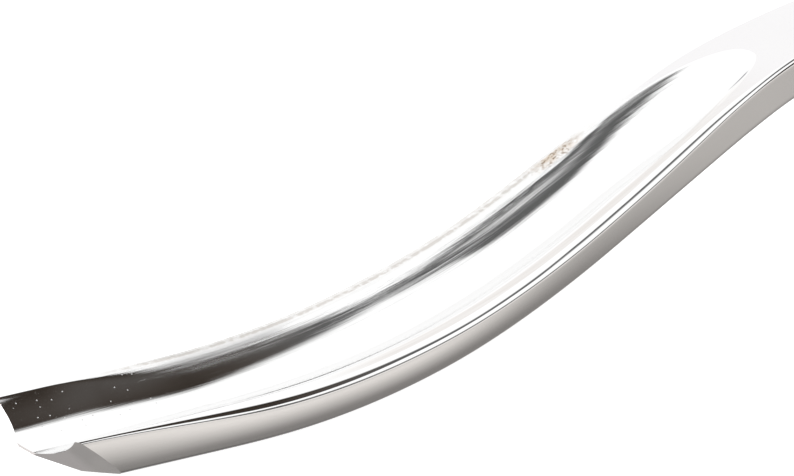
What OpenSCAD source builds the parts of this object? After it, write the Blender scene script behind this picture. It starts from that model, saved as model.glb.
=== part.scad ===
// Tyre lever: a forged and chrome-plated steel bar with a hollow, S-bent spoon,
// in a two-component moulded handle. Millimetres. +X runs from the tip to the
// tail, +Z is up, and the origin is on the surface that the lever lies on.

/* [Lever] */
// Length over everything, from the leading edge to the end of the handle
overall_length = 400; // [360:1:500]

/* [Spoon bend] */
// Angle by which the tip turns up from the line of the shank, degrees
tip_upturn = 11; // [4:0.5:16]
// Straight run behind the leading edge
nose_run = 34; // [26:1:42]
// Radius of the long bend, at the top edge
spoon_radius = 162; // [130:1:200]
// Angle of the ramp between the two bends, degrees
ramp_angle = 16.5; // [12:0.5:20]
// Straight run of the ramp
ramp_run = 32; // [24:1:40]
// Radius of the bend at the neck, at the top edge
neck_radius = 115; // [90:1:140]

/* [Spoon section] */
// Width at the leading edge's corners
tip_width = 26.2; // [20:0.1:28]
// Width of the belly, the widest part
belly_width = 30.6; // [26:0.1:33]
// Width of the throat, where the hollow starts to run out
throat_width = 26.7; // [23:0.1:29]
// Height of the side wall at the tip
tip_height = 7; // [6.4:0.1:8]
// Height of the side wall at the belly
belly_height = 5.9; // [5.4:0.1:7.5]
// How far the underside bulges below its edges
underside_crown = 0.8; // [0.4:0.1:1.2]
// Width of the rolled lip along the hollow
lip_width = 2.2; // [1.4:0.1:2.6]
// Drop of the rolled lip
lip_drop = 1.2; // [0.8:0.1:1.6]
// Width of the rolled lip at the leading edge
tip_lip_width = 0.6; // [0.5:0.1:2.2]
// How far the side wall leans in at its top, along the nose
side_lean = 0.5; // [0:0.1:0.8]

/* [Hollow] */
// Depth at the leading edge
hollow_tip_depth = 4.6; // [3.5:0.1:4.9]
// Depth along the belly
hollow_depth = 3.3; // [2.6:0.1:4]
// Length from the leading edge to the run-out's end
hollow_length = 163; // [150:1:172]
// Length of the rounded run-out
run_out_length = 40; // [30:1:50]

/* [Nose grinding] */
// Thickness left at the leading edge
edge_land = 0.4; // [0.3:0.1:0.8]
// Angle of the ground underside behind the leading edge, degrees
edge_bevel_angle = 22; // [15:1:30]
// How far the corners are set back from the leading edge
corner_set_back = 2.8; // [1.5:0.1:4]
// Angle of the ground corners seen from above, degrees
corner_plan_angle = 37; // [25:1:45]
// Angle by which the ground corners lean under, degrees
corner_undercut = 41; // [30:1:50]

/* [Shank and tang] */
// Width of the shank
shank_width = 20; // [18.2:0.1:23]
// Thickness of the shank
shank_thickness = 7.5; // [6.5:0.1:9]
// Corner radius of the shank
shank_corner = 0.9; // [0.5:0.1:1.5]
// Width of the tang inside the handle
tang_width = 17; // [14:0.1:18]
// Thickness of the tang
tang_thickness = 6.5; // [5:0.1:7]
// Length of the tang inside the handle
tang_length = 98; // [80:1:102]

/* [Handle] */
// Length of the handle, ferrule included
handle_length = 140; // [134:1:160]
// Width of the grip, across the lever
grip_width = 31; // [28:0.1:36]
// Height of the grip
grip_height = 34; // [30:0.1:38]
// Height of the guard in front of the grip
guard_height = 43; // [40:0.1:46]
// Thickness of the soft grip
soft_thickness = 3; // [2:0.1:4]
// Width of the flattened tail round the hanging hole
tail_width = 19; // [16:0.1:24]

/* [Ferrule, pins and eyelet] */
// Outside diameter of the ferrule
ferrule_diameter = 28; // [27:0.1:30]
// Length of the ferrule's skirt
ferrule_length = 11; // [9:0.5:13]
// Wall of the ferrule
ferrule_wall = 1.5; // [1:0.1:2]
// Diameter of the pins through the tang
pin_diameter = 5; // [3:0.1:6]
// Diameter of the hanging hole, through the eyelet
hang_diameter = 8; // [6:0.1:9]
// Wall of the eyelet's tube
eyelet_wall = 0.8; // [0.6:0.1:1.2]
// Diameter of the eyelet's rolled flanges
eyelet_flange = 14; // [12:0.1:16]
// Diameter of the end plug's head
plug_head_diameter = 12; // [10:0.1:14]

/* [Hidden] */

round_fn = 64;
mould_gap = 0.04;       // between moulded pieces that touch
bore_gap = 0.02;        // round a pin or tube in its hole
slot_gap = 0.1;         // round the shank in the ferrule's slot
cutter = 120;           // larger than anything it cuts

// ---- The bar's top edge line, seen from the side: run, bend, ramp, bend, shank ----
degree = PI / 180;
nose_end = nose_run;
spoon_end = nose_end + spoon_radius * (tip_upturn + ramp_angle) * degree;
ramp_end = spoon_end + ramp_run;
neck_end = ramp_end + neck_radius * ramp_angle * degree;

function heading(s) =
    s < nose_end ? -tip_upturn
    : s < spoon_end ? -tip_upturn + (s - nose_end) / spoon_radius / degree
    : s < ramp_end ? ramp_angle
    : s < neck_end ? ramp_angle - (s - ramp_end) / neck_radius / degree
    : 0;

function run(from, length, angle) = from + length * [cos(angle), sin(angle)];
function rising(from, radius, a, b) = from + radius * [sin(b) - sin(a), cos(a) - cos(b)];
function falling(from, radius, a, b) = from + radius * [sin(a) - sin(b), cos(b) - cos(a)];

nose_end_at = run([0, 0], nose_run, -tip_upturn);
spoon_end_at = rising(nose_end_at, spoon_radius, -tip_upturn, ramp_angle);
ramp_end_at = run(spoon_end_at, ramp_run, ramp_angle);
neck_end_at = falling(ramp_end_at, neck_radius, ramp_angle, 0);

function edge_line(s) =
    s < nose_end ? run([0, 0], s, -tip_upturn)
    : s < spoon_end ? rising(nose_end_at, spoon_radius, -tip_upturn, heading(s))
    : s < ramp_end ? run(spoon_end_at, s - spoon_end, ramp_angle)
    : s < neck_end ? falling(ramp_end_at, neck_radius, ramp_angle, heading(s))
    : run(neck_end_at, s - neck_end, 0);

// ---- How the section changes along the bar ----
shoulder_at = nose_run + 4;
belly_at = 0.42 * hollow_length + 5;
throat_at = hollow_length - 37;
neck_mid_at = hollow_length - 13;
shank_at = hollow_length + 10;

// Each row: distance from the leading edge, width, wall height
sections = [
    [0, tip_width - 0.3, tip_height],
    [shoulder_at, belly_width - 0.2, belly_height + 0.25],
    [belly_at, belly_width, belly_height],
    [belly_at + 28, (belly_width + throat_width) / 2 - 0.3, belly_height],
    [throat_at, throat_width, belly_height + 0.3],
    [neck_mid_at, (throat_width + shank_width) / 2, (belly_height + shank_thickness) / 2 + 0.5],
    [shank_at, shank_width, shank_thickness],
];
last = len(sections) - 1;

function slope(i, k) = (i == 0 || i == last) ? 0
    : (sections[i + 1][k] - sections[i - 1][k]) / (sections[i + 1][0] - sections[i - 1][0]);

function hermite(t, a, b, ma, mb) =
    (2 * t ^ 3 - 3 * t ^ 2 + 1) * a + (t ^ 3 - 2 * t ^ 2 + t) * ma
    + (3 * t ^ 2 - 2 * t ^ 3) * b + (t ^ 3 - t ^ 2) * mb;

function span_of(s, i = 0) = (i >= last - 1 || s < sections[i + 1][0]) ? i : span_of(s, i + 1);

function section_value(s, k) =
    s >= sections[last][0] ? sections[last][k]
    : s <= 0 ? sections[0][k]
    : let (i = span_of(s), d = sections[i + 1][0] - sections[i][0])
        hermite((s - sections[i][0]) / d, sections[i][k], sections[i + 1][k], slope(i, k) * d, slope(i + 1, k) * d);

function ease(t) = let (u = min(1, max(0, t))) u * u * (3 - 2 * u);
function half_width(s) = section_value(s, 1) / 2;
function wall_height(s) = section_value(s, 2);
function crown(s) = underside_crown * (1 - to_shank(s));
function to_shank(s) = ease((s - throat_at) / (shank_at - throat_at));
function from_tip(s) = ease((s - 4) / 40);
function lip_run(s) =
    tip_lip_width * (1 - from_tip(s)) + lip_width * from_tip(s) + (shank_corner - lip_width) * to_shank(s);
function lip_fall(s) = lip_drop * (lip_run(s) / lip_width) ^ 0.7 * (1 - to_shank(s)) + shank_corner * to_shank(s);
function lean(s) = side_lean * (1 - ease((s - nose_run + 4) / 80));

run_out_at = hollow_length - run_out_length;
smallest_hollow = 0.5;
function run_out(s) = min(1, max(0, (s - run_out_at) / run_out_length));
function hollow_half_width(s) =
    max(smallest_hollow, (half_width(s) - lean(s) - lip_run(s) - 0.1) * (1 - run_out(s) ^ 2.4) ^ (1 / 2.4));
function depth(s) =
    let (full = hollow_tip_depth + (hollow_depth - hollow_tip_depth) * ease(s / 55))
    s >= hollow_length ? 0
    : full * (1 - max(0, (s - belly_at) / (hollow_length - belly_at)) ^ 4);

// The hollow's wall is steepest at this share of its half width: at the rim by the
// tip and at the run-out, and well inside it between them
function steepest(s) = 0.97 - 0.33 * ease((s - 10) / 26) + 0.3 * ease((s - throat_at + 8) / 25);
function bowl(e, e1) = e < e1 ? 1 - e * e / e1 : (1 - e) ^ 2 / (1 - e1);

// The hollow's floor is flatter just behind the leading edge
function flatness(s) = 1 + 0.3 * (1 - ease(s / 20));

// ---- The ring of points round the bar at distance s ----
hollow_steps = 14;
corner_steps = 4;

function hollow_points(s) = let (c = hollow_half_width(s), d = depth(s), e1 = steepest(s))
    [for (i = [0:hollow_steps]) let (e = 1 - 2 * i / hollow_steps)
        [c * e, -d * bowl(abs(e) ^ flatness(s), e1)]];

// A quarter of an ellipse round [y, z], from the angle given and 90 degrees downwards
function corner_points(y, z, a, b, from, side) =
    [for (i = [0:corner_steps]) let (g = from - 90 * i / corner_steps) [side * (y + a * cos(g)), z + b * sin(g)]];

function flipped(points) = [for (i = [len(points) - 1:-1:0]) points[i]];

function ring(s) = let (
    h = half_width(s), t = wall_height(s), a = lip_run(s), b = lip_fall(s), r = 0.9, k = crown(s),
    upper = [h - lean(s) - a, -b], lower = [h - r, r - t])
    concat(
        hollow_points(s),
        corner_points(upper.x, upper.y, a, b, 90, -1),
        corner_points(lower.x, lower.y, r, r, 0, -1),
        [for (e = [-0.5, 0, 0.5]) [lower.x * e, -t - k * (1 - e * e)]],
        flipped(corner_points(lower.x, lower.y, r, r, 0, 1)),
        flipped(corner_points(upper.x, upper.y, a, b, 90, 1))
    );

function at_station(s, p) = let (at = edge_line(s), a = heading(s))
    [at.x - p.y * sin(a), p.x, at.y + p.y * cos(a)];
function placed(s) = [for (p = ring(s)) at_station(s, p)];
function inside(s) = at_station(s, [0, (-depth(s) - wall_height(s)) / 2]);

// ---- Where the bar stops, and the stations along it ----
nose_overrun = 3;       // drawn past the leading edge and ground off
leading_overhang = (hollow_tip_depth + edge_land) * sin(tip_upturn);
shank_end = neck_end + overall_length - handle_length - neck_end_at.x - leading_overhang;
function between(a, b, n) = [for (i = [0:n - 1]) a + (b - a) * i / n];
stations = concat(
    [-nose_overrun],
    between(0.08 * nose_run, nose_end, 5),
    between(nose_end, spoon_end, 15),
    between(spoon_end, hollow_length - 12, 8),
    between(hollow_length - 12, hollow_length, 8),
    between(hollow_length, neck_end, 5),
    [neck_end, shank_end]
);

// ---- Levels and places in the lever's own frame ----
belly_bottom = min([for (s = stations) min([for (p = placed(s)) p.z])]);
handle_axis = neck_end_at.y - shank_thickness / 2;
guard_drop = max(grip_height / 2 + 3, handle_axis - belly_bottom);
floor_level = handle_axis - guard_drop;
lift = -floor_level;
start_x = -overall_length / 2 + leading_overhang;
axis_z = handle_axis + lift;
handle_x = overall_length / 2 - handle_length;

// A closed skin over rings of points, each ring further along X than the one
// before. The two end caps fan out from the points front and back.
module skin(rings, front, back) {
    n = len(rings[0]);
    end = n * (len(rings) - 1);
    polyhedron(
        points = concat([for (r = rings) for (p = r) p], [front, back]),
        faces = concat(
            [for (i = [0:n - 1]) [n + end, i, (i + 1) % n]],
            [for (i = [0:n - 1]) [n + end + 1, end + (i + 1) % n, end + i]],
            [for (a = [0:n:end - n]) for (i = [0:n - 1]) let (b = a + n, k = (i + 1) % n)
                each [[a + i, b + i, b + k], [a + i, b + k, a + k]]]
        ),
        convexity = 8
    );
}

// A half space whose face passes through the origin, facing forwards, turned and leant under
module ground_away(plan_angle, lean) {
    rotate([0, -lean, plan_angle])
        translate([-cutter, -cutter / 2, -cutter / 2])
            cube([cutter, cutter, cutter]);
}

module nose_grinding() {
    rotate([0, tip_upturn, 0]) {
        ground_away(0, 0);
        translate([0, 0, -hollow_tip_depth - edge_land])
            ground_away(0, 90 - edge_bevel_angle);
        for (side = [-1, 1])
            translate([corner_set_back, side * tip_width / 2, 0])
                ground_away(-side * corner_plan_angle, corner_undercut);
    }
}

module tang() {
    overlap = 10;
    translate([handle_x - overlap, -tang_width / 2, axis_z - tang_thickness / 2])
        cube([overlap + tang_length, tang_width, tang_thickness]);
}

module lever_bar() {
    color("gainsboro")
        difference() {
            union() {
                translate([start_x, 0, lift])
                    difference() {
                        skin([for (s = stations) placed(s)], inside(stations[0]), inside(shank_end));
                        nose_grinding();
                    }
                tang();
            }
            pin_holes();
        }
}

// ---- Handle: ovals skinned along X; distances are from the handle's front ----
oval_points = 40;
grip_power = 2.4;
tail_power = 5;
front_x = ferrule_length + 0.5;
guard_length = 10;
grip_start = front_x + guard_length;
tail_length = 34;
grip_end = handle_length - tail_length;
tail_at = grip_end + 8;
hang_x = handle_length - 17;
tail_height = grip_height - 1;
face_length = 1.5;
pin_places = [grip_start + 16, grip_start + 62];

function superellipse(c, power) = sign(c) * abs(c) ^ (2 / power);

// An oval whose lower side reaches dip further down than its upper side reaches up
function oval(x, width, height, power = 2.4, dip = 0) =
    [for (i = [0:oval_points - 1]) let (a = 360 * i / oval_points)
        [x, width / 2 * superellipse(cos(a), power), height / 2 * superellipse(sin(a), power) - dip]];

module loft(ovals) {
    translate([handle_x, 0, axis_z])
        skin(ovals, [ovals[0][0].x, 0, 0], [ovals[len(ovals) - 1][0].x, 0, 0]);
}

guard_width = grip_width + 5;
guard_dip = guard_drop - guard_height / 2;

function swell(x) = 1 - 0.06 * cos(360 * (x - grip_start) / (grip_end - grip_start));
function grip_oval(x, place, inset) =
    oval(place, grip_width * swell(x) - 2 * inset, grip_height * swell(x) - 2 * inset);

grip_steps = 14;
function grip_ovals(inset, end_gap) = [for (i = [0:grip_steps])
    let (x = grip_start + (grip_end - grip_start) * i / grip_steps)
        grip_oval(x, x + (i == 0 ? end_gap : i == grip_steps ? -end_gap : 0), inset)];

module hard_part() {
    face = ferrule_diameter + 1;
    loft(concat(
        [
            oval(front_x, face, face, 2),
            oval(front_x + 2.2, guard_width - 3, guard_height - 3, grip_power, guard_dip),
            oval(front_x + 4.2, guard_width, guard_height, grip_power, guard_dip),
            oval(grip_start - 2.6, guard_width, guard_height, grip_power, guard_dip),
            oval(grip_start, grip_width + 1.5, grip_height + 1.5, grip_power),
        ],
        grip_ovals(soft_thickness, step_length),
        [
            oval(grip_end, grip_width + 1, grip_height + 1, 3),
            oval(grip_end + 2.5, grip_width + 0.5, grip_height + 3, 3.5),
            oval(tail_at, tail_width, tail_height + 2, tail_power),
            oval(handle_length - 8, tail_width, tail_height, tail_power),
            oval(handle_length - 3.5, tail_width - 1, tail_height - 6, 4),
            oval(handle_length - face_length, tail_width - 4, tail_height - 10, 3.5),
        ]
    ));
}

module along_x(x, diameter, length) {
    translate([handle_x + x, 0, axis_z])
        rotate([0, 90, 0])
            cylinder(d = diameter, h = length, $fn = round_fn);
}

module across(x, diameter, length) {
    translate([handle_x + x, 0, axis_z])
        rotate([90, 0, 0])
            cylinder(d = diameter, h = length, center = true, $fn = round_fn);
}

module upright(x, diameter, length) {
    translate([handle_x + x, 0, axis_z])
        cylinder(d = diameter, h = length, center = true, $fn = round_fn);
}

module pin_holes() {
    for (x = pin_places)
        upright(x, pin_diameter + 2 * bore_gap, grip_height + 10);
}

module flat_slot(from, to, gap) {
    translate([handle_x + from, -tang_width / 2 - gap, axis_z - tang_thickness / 2 - gap])
        cube([to - from, tang_width + 2 * gap, tang_thickness + 2 * gap]);
}

step_length = 0.01;     // run of the square step under each end of the soft grip

module handle_core() {
    spigot = ferrule_diameter - 2 * ferrule_wall - 2 * mould_gap;
    color("dimgray")
        difference() {
            union() {
                along_x(ferrule_wall + mould_gap, spigot, front_x + 3);
                hard_part();
            }
            flat_slot(-1, tang_length + mould_gap, mould_gap);
            pin_holes();
            across(hang_x, hang_diameter + 2 * eyelet_wall + 2 * bore_gap, cutter);
            along_x(plug_stem_x, plug_stem_diameter + 2 * bore_gap, cutter);
        }
}

module soft_grip() {
    color("black")
        difference() {
            loft(grip_ovals(0, mould_gap));
            loft(grip_ovals(soft_thickness - mould_gap, -1));
        }
}

pin_length = 0.94 * grip_height - 2 * soft_thickness - 0.6;

module tang_pins() {
    color("silver")
        for (x = pin_places)
            upright(x, pin_diameter, pin_length);
}

module front_ferrule() {
    color("gainsboro")
        difference() {
            along_x(0, ferrule_diameter, ferrule_length);
            along_x(ferrule_wall, ferrule_diameter - 2 * ferrule_wall, cutter);
            flat_slot(-1, ferrule_wall + 1, slot_gap);
        }
}

eyelet_lip = 1;

module hang_eyelet() {
    color("gainsboro")
        difference() {
            union() {
                across(hang_x, hang_diameter + 2 * eyelet_wall, tail_width + 2 * mould_gap);
                for (side = [-1, 1])
                    translate([0, side * (tail_width / 2 + mould_gap + eyelet_lip / 2), 0])
                        across(hang_x, eyelet_flange, eyelet_lip);
            }
            across(hang_x, hang_diameter, cutter);
        }
}

plug_stem_diameter = plug_head_diameter - 5;
plug_stem_length = 6;
plug_stem_x = handle_length - face_length - plug_stem_length;

module end_plug() {
    color("dimgray")
        union() {
            along_x(plug_stem_x + mould_gap, plug_stem_diameter, plug_stem_length);
            along_x(handle_length - face_length + mould_gap, plug_head_diameter, face_length - mould_gap);
        }
}

lever_bar();
front_ferrule();
handle_core();
soft_grip();
tang_pins();
hang_eyelet();
end_plug();
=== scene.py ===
import math

import bmesh
import bpy
import numpy as np
from mathutils import Matrix, Vector


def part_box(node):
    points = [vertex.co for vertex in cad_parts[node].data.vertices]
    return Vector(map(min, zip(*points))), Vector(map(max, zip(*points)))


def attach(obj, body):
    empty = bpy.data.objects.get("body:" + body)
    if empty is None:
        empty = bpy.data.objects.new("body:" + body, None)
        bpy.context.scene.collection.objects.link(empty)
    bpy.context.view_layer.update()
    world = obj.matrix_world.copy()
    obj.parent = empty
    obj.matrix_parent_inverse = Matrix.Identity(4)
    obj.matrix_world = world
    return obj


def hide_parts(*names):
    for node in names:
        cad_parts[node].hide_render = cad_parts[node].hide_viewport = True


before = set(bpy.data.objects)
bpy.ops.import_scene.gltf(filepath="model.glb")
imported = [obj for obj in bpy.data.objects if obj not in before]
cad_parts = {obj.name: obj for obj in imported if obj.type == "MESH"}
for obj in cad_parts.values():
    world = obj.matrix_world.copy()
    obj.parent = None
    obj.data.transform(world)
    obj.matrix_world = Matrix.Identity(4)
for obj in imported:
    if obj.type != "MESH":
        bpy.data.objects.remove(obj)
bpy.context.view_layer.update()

MM = 0.001
DEG = math.pi / 180

# ---------------------------------------------------------------------------
# The lever's driving sizes, in millimetres and degrees, as the CAD has them
# ---------------------------------------------------------------------------
OVERALL = 400.0

# The line of the bar's top edge: tip, nose, long bend, ramp, neck
TIP_UPTURN, NOSE_RUN, SPOON_R = 11.0, 34.0, 162.0
RAMP_ANGLE, RAMP_RUN, NECK_R = 16.5, 32.0, 115.0

# The bar's section
TIP_W, BELLY_W, THROAT_W, SHANK_W = 26.2, 30.6, 26.7, 20.0
TIP_H, BELLY_H, SHANK_T = 7.0, 5.9, 7.5
CROWN, SIDE_LEAN, SHANK_CORNER = 0.8, 0.5, 0.9
LIP_W, TIP_LIP_W, LIP_DROP = 2.2, 0.6, 1.2
HOLLOW_TIP, HOLLOW_DEPTH, HOLLOW_LEN, RUN_OUT = 4.6, 3.3, 163.0, 40.0

# The ground leading edge and the ground corners beside it
EDGE_LAND, EDGE_BEVEL = 0.4, 22.0
SET_BACK, CORNER_PLAN, CORNER_LEAN = 2.8, 37.0, 41.0

# The tang and the handle
TANG_W, TANG_T, TANG_L = 17.0, 6.5, 98.0
HANDLE_L, GRIP_W, GRIP_H, GUARD_H = 140.0, 31.0, 34.0, 43.0
SOFT, TAIL_W = 3.0, 19.0
FERRULE_D, FERRULE_L, FERRULE_WALL = 28.0, 11.0, 1.5
HANG_D, EYELET_WALL, EYELET_FLANGE, EYELET_LIP = 8.0, 0.8, 14.0, 1.0
PLUG_D, PIN_D = 12.0, 5.0
GAP, BORE_GAP, SLOT_GAP = 0.04, 0.02, 0.1

# Places that the frame gives
HANDLE_X = OVERALL / 2 - HANDLE_L
eye_lo, eye_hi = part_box("hang_eyelet")
AXIS_Z = (eye_lo[2] + eye_hi[2]) / 2 / MM

# ---------------------------------------------------------------------------
# The bar's top edge line, its bends eased over a short run
# ---------------------------------------------------------------------------
SPOON_END = NOSE_RUN + SPOON_R * (TIP_UPTURN + RAMP_ANGLE) * DEG
RAMP_END = SPOON_END + RAMP_RUN
NECK_END = RAMP_END + NECK_R * RAMP_ANGLE * DEG
EASING = 22.0
GRID = 0.25
GRID_FROM, GRID_TO = -20, 320
grid_s = np.arange(GRID_FROM, GRID_TO, GRID)


def raw_heading(s):
    """The slope of the edge line in degrees, s millimetres behind the tip."""
    rise = -TIP_UPTURN + (s - NOSE_RUN) / SPOON_R / DEG
    fall = RAMP_ANGLE - (s - RAMP_END) / NECK_R / DEG
    return np.select(
        [s < NOSE_RUN, s < SPOON_END, s < RAMP_END, s < NECK_END],
        [-TIP_UPTURN + 0 * s, rise, RAMP_ANGLE + 0 * s, fall],
        0.0,
    )


def eased(values, width):
    kernel = np.hanning(int(width / GRID) | 1)
    kernel = kernel[1:-1] / kernel.sum()
    kernel /= kernel.sum()
    half = len(kernel) // 2
    return np.convolve(np.pad(values, half, mode="edge"), kernel, "valid")


grid_heading = eased(raw_heading(grid_s), EASING)


def run_along(component):
    """Adds up one component of the edge line's direction, from 0 at the tip."""
    mid = (grid_heading[1:] + grid_heading[:-1]) / 2 * DEG
    out = np.concatenate([[0], np.cumsum(component(mid) * GRID)])
    return out - np.interp(0, grid_s, out)


grid_x = run_along(np.cos)
grid_z = run_along(np.sin)


def heading(s):
    return np.interp(s, grid_s, grid_heading)


# ---------------------------------------------------------------------------
# How the section changes along the bar
# ---------------------------------------------------------------------------
BELLY_AT = 0.42 * HOLLOW_LEN + 5
THROAT_AT = HOLLOW_LEN - 37
NECK_MID = HOLLOW_LEN - 13
SHANK_AT = HOLLOW_LEN + 10
SECTIONS = np.array([
    [0, TIP_W - 0.3, TIP_H],
    [NOSE_RUN + 4, BELLY_W - 0.2, BELLY_H + 0.25],
    [BELLY_AT, BELLY_W, BELLY_H],
    [BELLY_AT + 28, (BELLY_W + THROAT_W) / 2 - 0.3, BELLY_H],
    [THROAT_AT, THROAT_W, BELLY_H + 0.3],
    [NECK_MID, (THROAT_W + SHANK_W) / 2, (BELLY_H + SHANK_T) / 2 + 0.5],
    [SHANK_AT, SHANK_W, SHANK_T],
])
NOSE_LEAN = 0.16
FOOT_TUCK = 0.32
RUN_OUT_POWER = 2.4
NARROWEST = 0.02
RIM_FLAT = 0.1
BOTTOM_CORNER = 0.9
BOWL_ROUNDING = (-0.08, -0.05, -0.02, 0.02, 0.05, 0.08)


def section_value(s, k):
    """A smooth curve through column k of the sections, level at its two ends."""
    x, y = SECTIONS[:, 0], SECTIONS[:, k]
    m = np.zeros(len(x))
    m[1:-1] = (y[2:] - y[:-2]) / (x[2:] - x[:-2])
    s = np.clip(s, 0, x[-1])
    i = np.clip(np.searchsorted(x, s, side="right") - 1, 0, len(x) - 2)
    d = x[i + 1] - x[i]
    t = (s - x[i]) / d
    return (
        (2 * t**3 - 3 * t**2 + 1) * y[i] + (t**3 - 2 * t**2 + t) * m[i] * d
        + (3 * t**2 - 2 * t**3) * y[i + 1] + (t**3 - t**2) * m[i + 1] * d
    )


def ease(t):
    t = np.clip(t, 0, 1)
    return t * t * (3 - 2 * t)


def fading(s, start, run):
    """1 before start, easing to 0 over the run."""
    return 1 - ease((s - start) / run)


def half_width(s):
    return section_value(s, 1) / 2


def wall_height(s):
    return section_value(s, 2)


def to_shank(s):
    return ease((s - THROAT_AT) / (SHANK_AT - THROAT_AT))


def from_tip(s):
    return ease((s - 4) / 40)


def lip_run(s):
    """How wide the lip beside the hollow is."""
    return TIP_LIP_W * (1 - from_tip(s)) + LIP_W * from_tip(s) + (SHANK_CORNER - LIP_W) * to_shank(s)


def lip_fall(s):
    """How far the lip falls to the top of the side wall."""
    return LIP_DROP * (lip_run(s) / LIP_W) ** 0.7 * (1 - to_shank(s)) + SHANK_CORNER * to_shank(s)


def side_lean(s):
    """How far the side wall leans in at its top."""
    return SIDE_LEAN * fading(s, 62, 50) + NOSE_LEAN * fading(s, 18, 35)


def side_tuck(s):
    """How far the side wall tucks in at its foot."""
    return FOOT_TUCK * fading(s, 80, 75)


def hollow_half_width(s):
    u = np.clip((s - (HOLLOW_LEN - RUN_OUT)) / RUN_OUT, 0, 1)
    flat = half_width(s) - side_lean(s) - lip_run(s) - RIM_FLAT
    return np.maximum(NARROWEST, flat * (1 - u**RUN_OUT_POWER) ** (1 / RUN_OUT_POWER))


def hollow_depth(s):
    full = HOLLOW_TIP + (HOLLOW_DEPTH - HOLLOW_TIP) * ease(s / 55)
    run = np.clip((s - BELLY_AT) / (HOLLOW_LEN - BELLY_AT), 0, 1)
    return full * (1 - run**4)


def steepest(s):
    """Share of the half width at which the hollow's wall is steepest."""
    return 0.97 - 0.33 * ease((s - 10) / 26) + 0.3 * ease((s - THROAT_AT + 8) / 25)


def bowl(e, e1):
    """The hollow's depth over its full depth, the bend at e1 rounded a little."""
    total = 0
    for shift in BOWL_ROUNDING:
        x = np.clip(np.abs(e + shift * (1 - np.abs(e))), 0, 1)
        total = total + np.where(x < e1, 1 - x * x / e1, (1 - x) ** 2 / (1 - e1))
    return total / len(BOWL_ROUNDING)


def flatness(s):
    """The hollow's floor is flatter just behind the leading edge."""
    return 1 + 0.3 * (1 - ease(s / 20))


# ---------------------------------------------------------------------------
# Mesh helpers
# ---------------------------------------------------------------------------
def new_object(name, mesh):
    obj = bpy.data.objects.new(name, mesh)
    bpy.context.scene.collection.objects.link(obj)
    return obj


def ring_mesh(name, rings, caps=True, closed=False):
    """A skin of quads over rings of points in millimetres. A closed one joins its last ring to its first."""
    rings = np.asarray(rings)
    m, n = rings.shape[:2]
    a = np.arange(m if closed else m - 1)[:, None] * n
    b = (a + n) % (m * n)
    i = np.arange(n)[None, :]
    k = (i + 1) % n
    quads = np.stack([a + i, a + k, b + k, b + i], -1).reshape(-1, 4)
    faces = quads.tolist()
    if caps:
        faces.append(list(range(n - 1, -1, -1)))
        faces.append(list(range((m - 1) * n, m * n)))
    mesh = bpy.data.meshes.new(name)
    mesh.from_pydata((rings.reshape(-1, 3) * MM).tolist(), [], faces)
    mesh.update()
    return mesh


def fix_normals(mesh):
    bm = bmesh.new()
    bm.from_mesh(mesh)
    bmesh.ops.recalc_face_normals(bm, faces=bm.faces)
    bm.to_mesh(mesh)
    bm.free()


def smooth(mesh, angle):
    mesh.polygons.foreach_set("use_smooth", [True] * len(mesh.polygons))
    mesh.set_sharp_from_angle(angle=angle * DEG)


def point_attribute(mesh, name, values):
    layer = mesh.attributes.new(name, "FLOAT", "POINT")
    layer.data.foreach_set("value", np.asarray(values, dtype=np.float32))


def lathe(name, profile, turn_count=128, closed=True):
    """A turned piece about +X from rows of distance along the axis and radius."""
    profile = np.asarray(profile, dtype=float)
    a = np.arange(turn_count) / turn_count * 2 * math.pi
    rings = np.stack([
        np.broadcast_to(profile[:, :1], (len(profile), turn_count)),
        profile[:, 1:] * np.cos(a),
        profile[:, 1:] * np.sin(a),
    ], -1)
    return ring_mesh(name, rings, caps=not closed, closed=closed)


def arc(x, r, radius, start, stop, n=7):
    """Rows on a round stretch of a turned profile, from start to stop degrees."""
    a = np.linspace(start, stop, n) * DEG
    return [[x + radius * math.cos(k), r + radius * math.sin(k)] for k in a]


def put(mesh, x, turn=None):
    """Moves a mesh to the handle's axis, x millimetres behind the handle's front."""
    matrix = Matrix.Translation(Vector((HANDLE_X + x, 0, AXIS_Z)) * MM)
    mesh.transform(matrix @ turn if turn else matrix)
    return mesh


def cut_away(mesh, cutting):
    """The mesh without the solids of the cutting meshes."""
    blank = new_object("blank", mesh)
    cutters = []
    for k, cutting_mesh in enumerate(cutting):
        fix_normals(cutting_mesh)
        cutter = new_object("cutter_%d" % k, cutting_mesh)
        modifier = blank.modifiers.new("cut_%d" % k, "BOOLEAN")
        modifier.operation = "DIFFERENCE"
        modifier.solver = "EXACT"
        modifier.object = cutter
        cutters.append(cutter)
    bpy.context.view_layer.update()
    depsgraph = bpy.context.evaluated_depsgraph_get()
    result = bpy.data.meshes.new_from_object(blank.evaluated_get(depsgraph))
    for obj in [blank, *cutters]:
        bpy.data.objects.remove(obj)
    return result


def rod(x, diameter, length, turn=None):
    return put(lathe("rod", [[0, diameter / 2], [length, diameter / 2]], 72, closed=False), x, turn)


def block(x, length, width, height, corner, points=48):
    """A bar along X with rounded long edges."""
    a = (np.arange(points) / points * 360 + 180 / points) * DEG
    y = np.sign(np.cos(a)) * (width / 2 - corner) + corner * np.cos(a)
    z = np.sign(np.sin(a)) * (height / 2 - corner) + corner * np.sin(a)
    rings = [np.stack([np.full(points, k), y, z], -1) for k in (0, length)]
    return put(ring_mesh("block", rings), x)


# ---------------------------------------------------------------------------
# The lever bar
# ---------------------------------------------------------------------------
HOLLOW_N, LIP_N, SIDE_N, CORNER_N, BOTTOM_N = 110, 14, 12, 8, 24
START_X = -OVERALL / 2 + (HOLLOW_TIP + EDGE_LAND) * math.sin(TIP_UPTURN * DEG)
SHANK_TOP = AXIS_Z + SHANK_T / 2
LIFT = SHANK_TOP - grid_z[-1]


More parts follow.
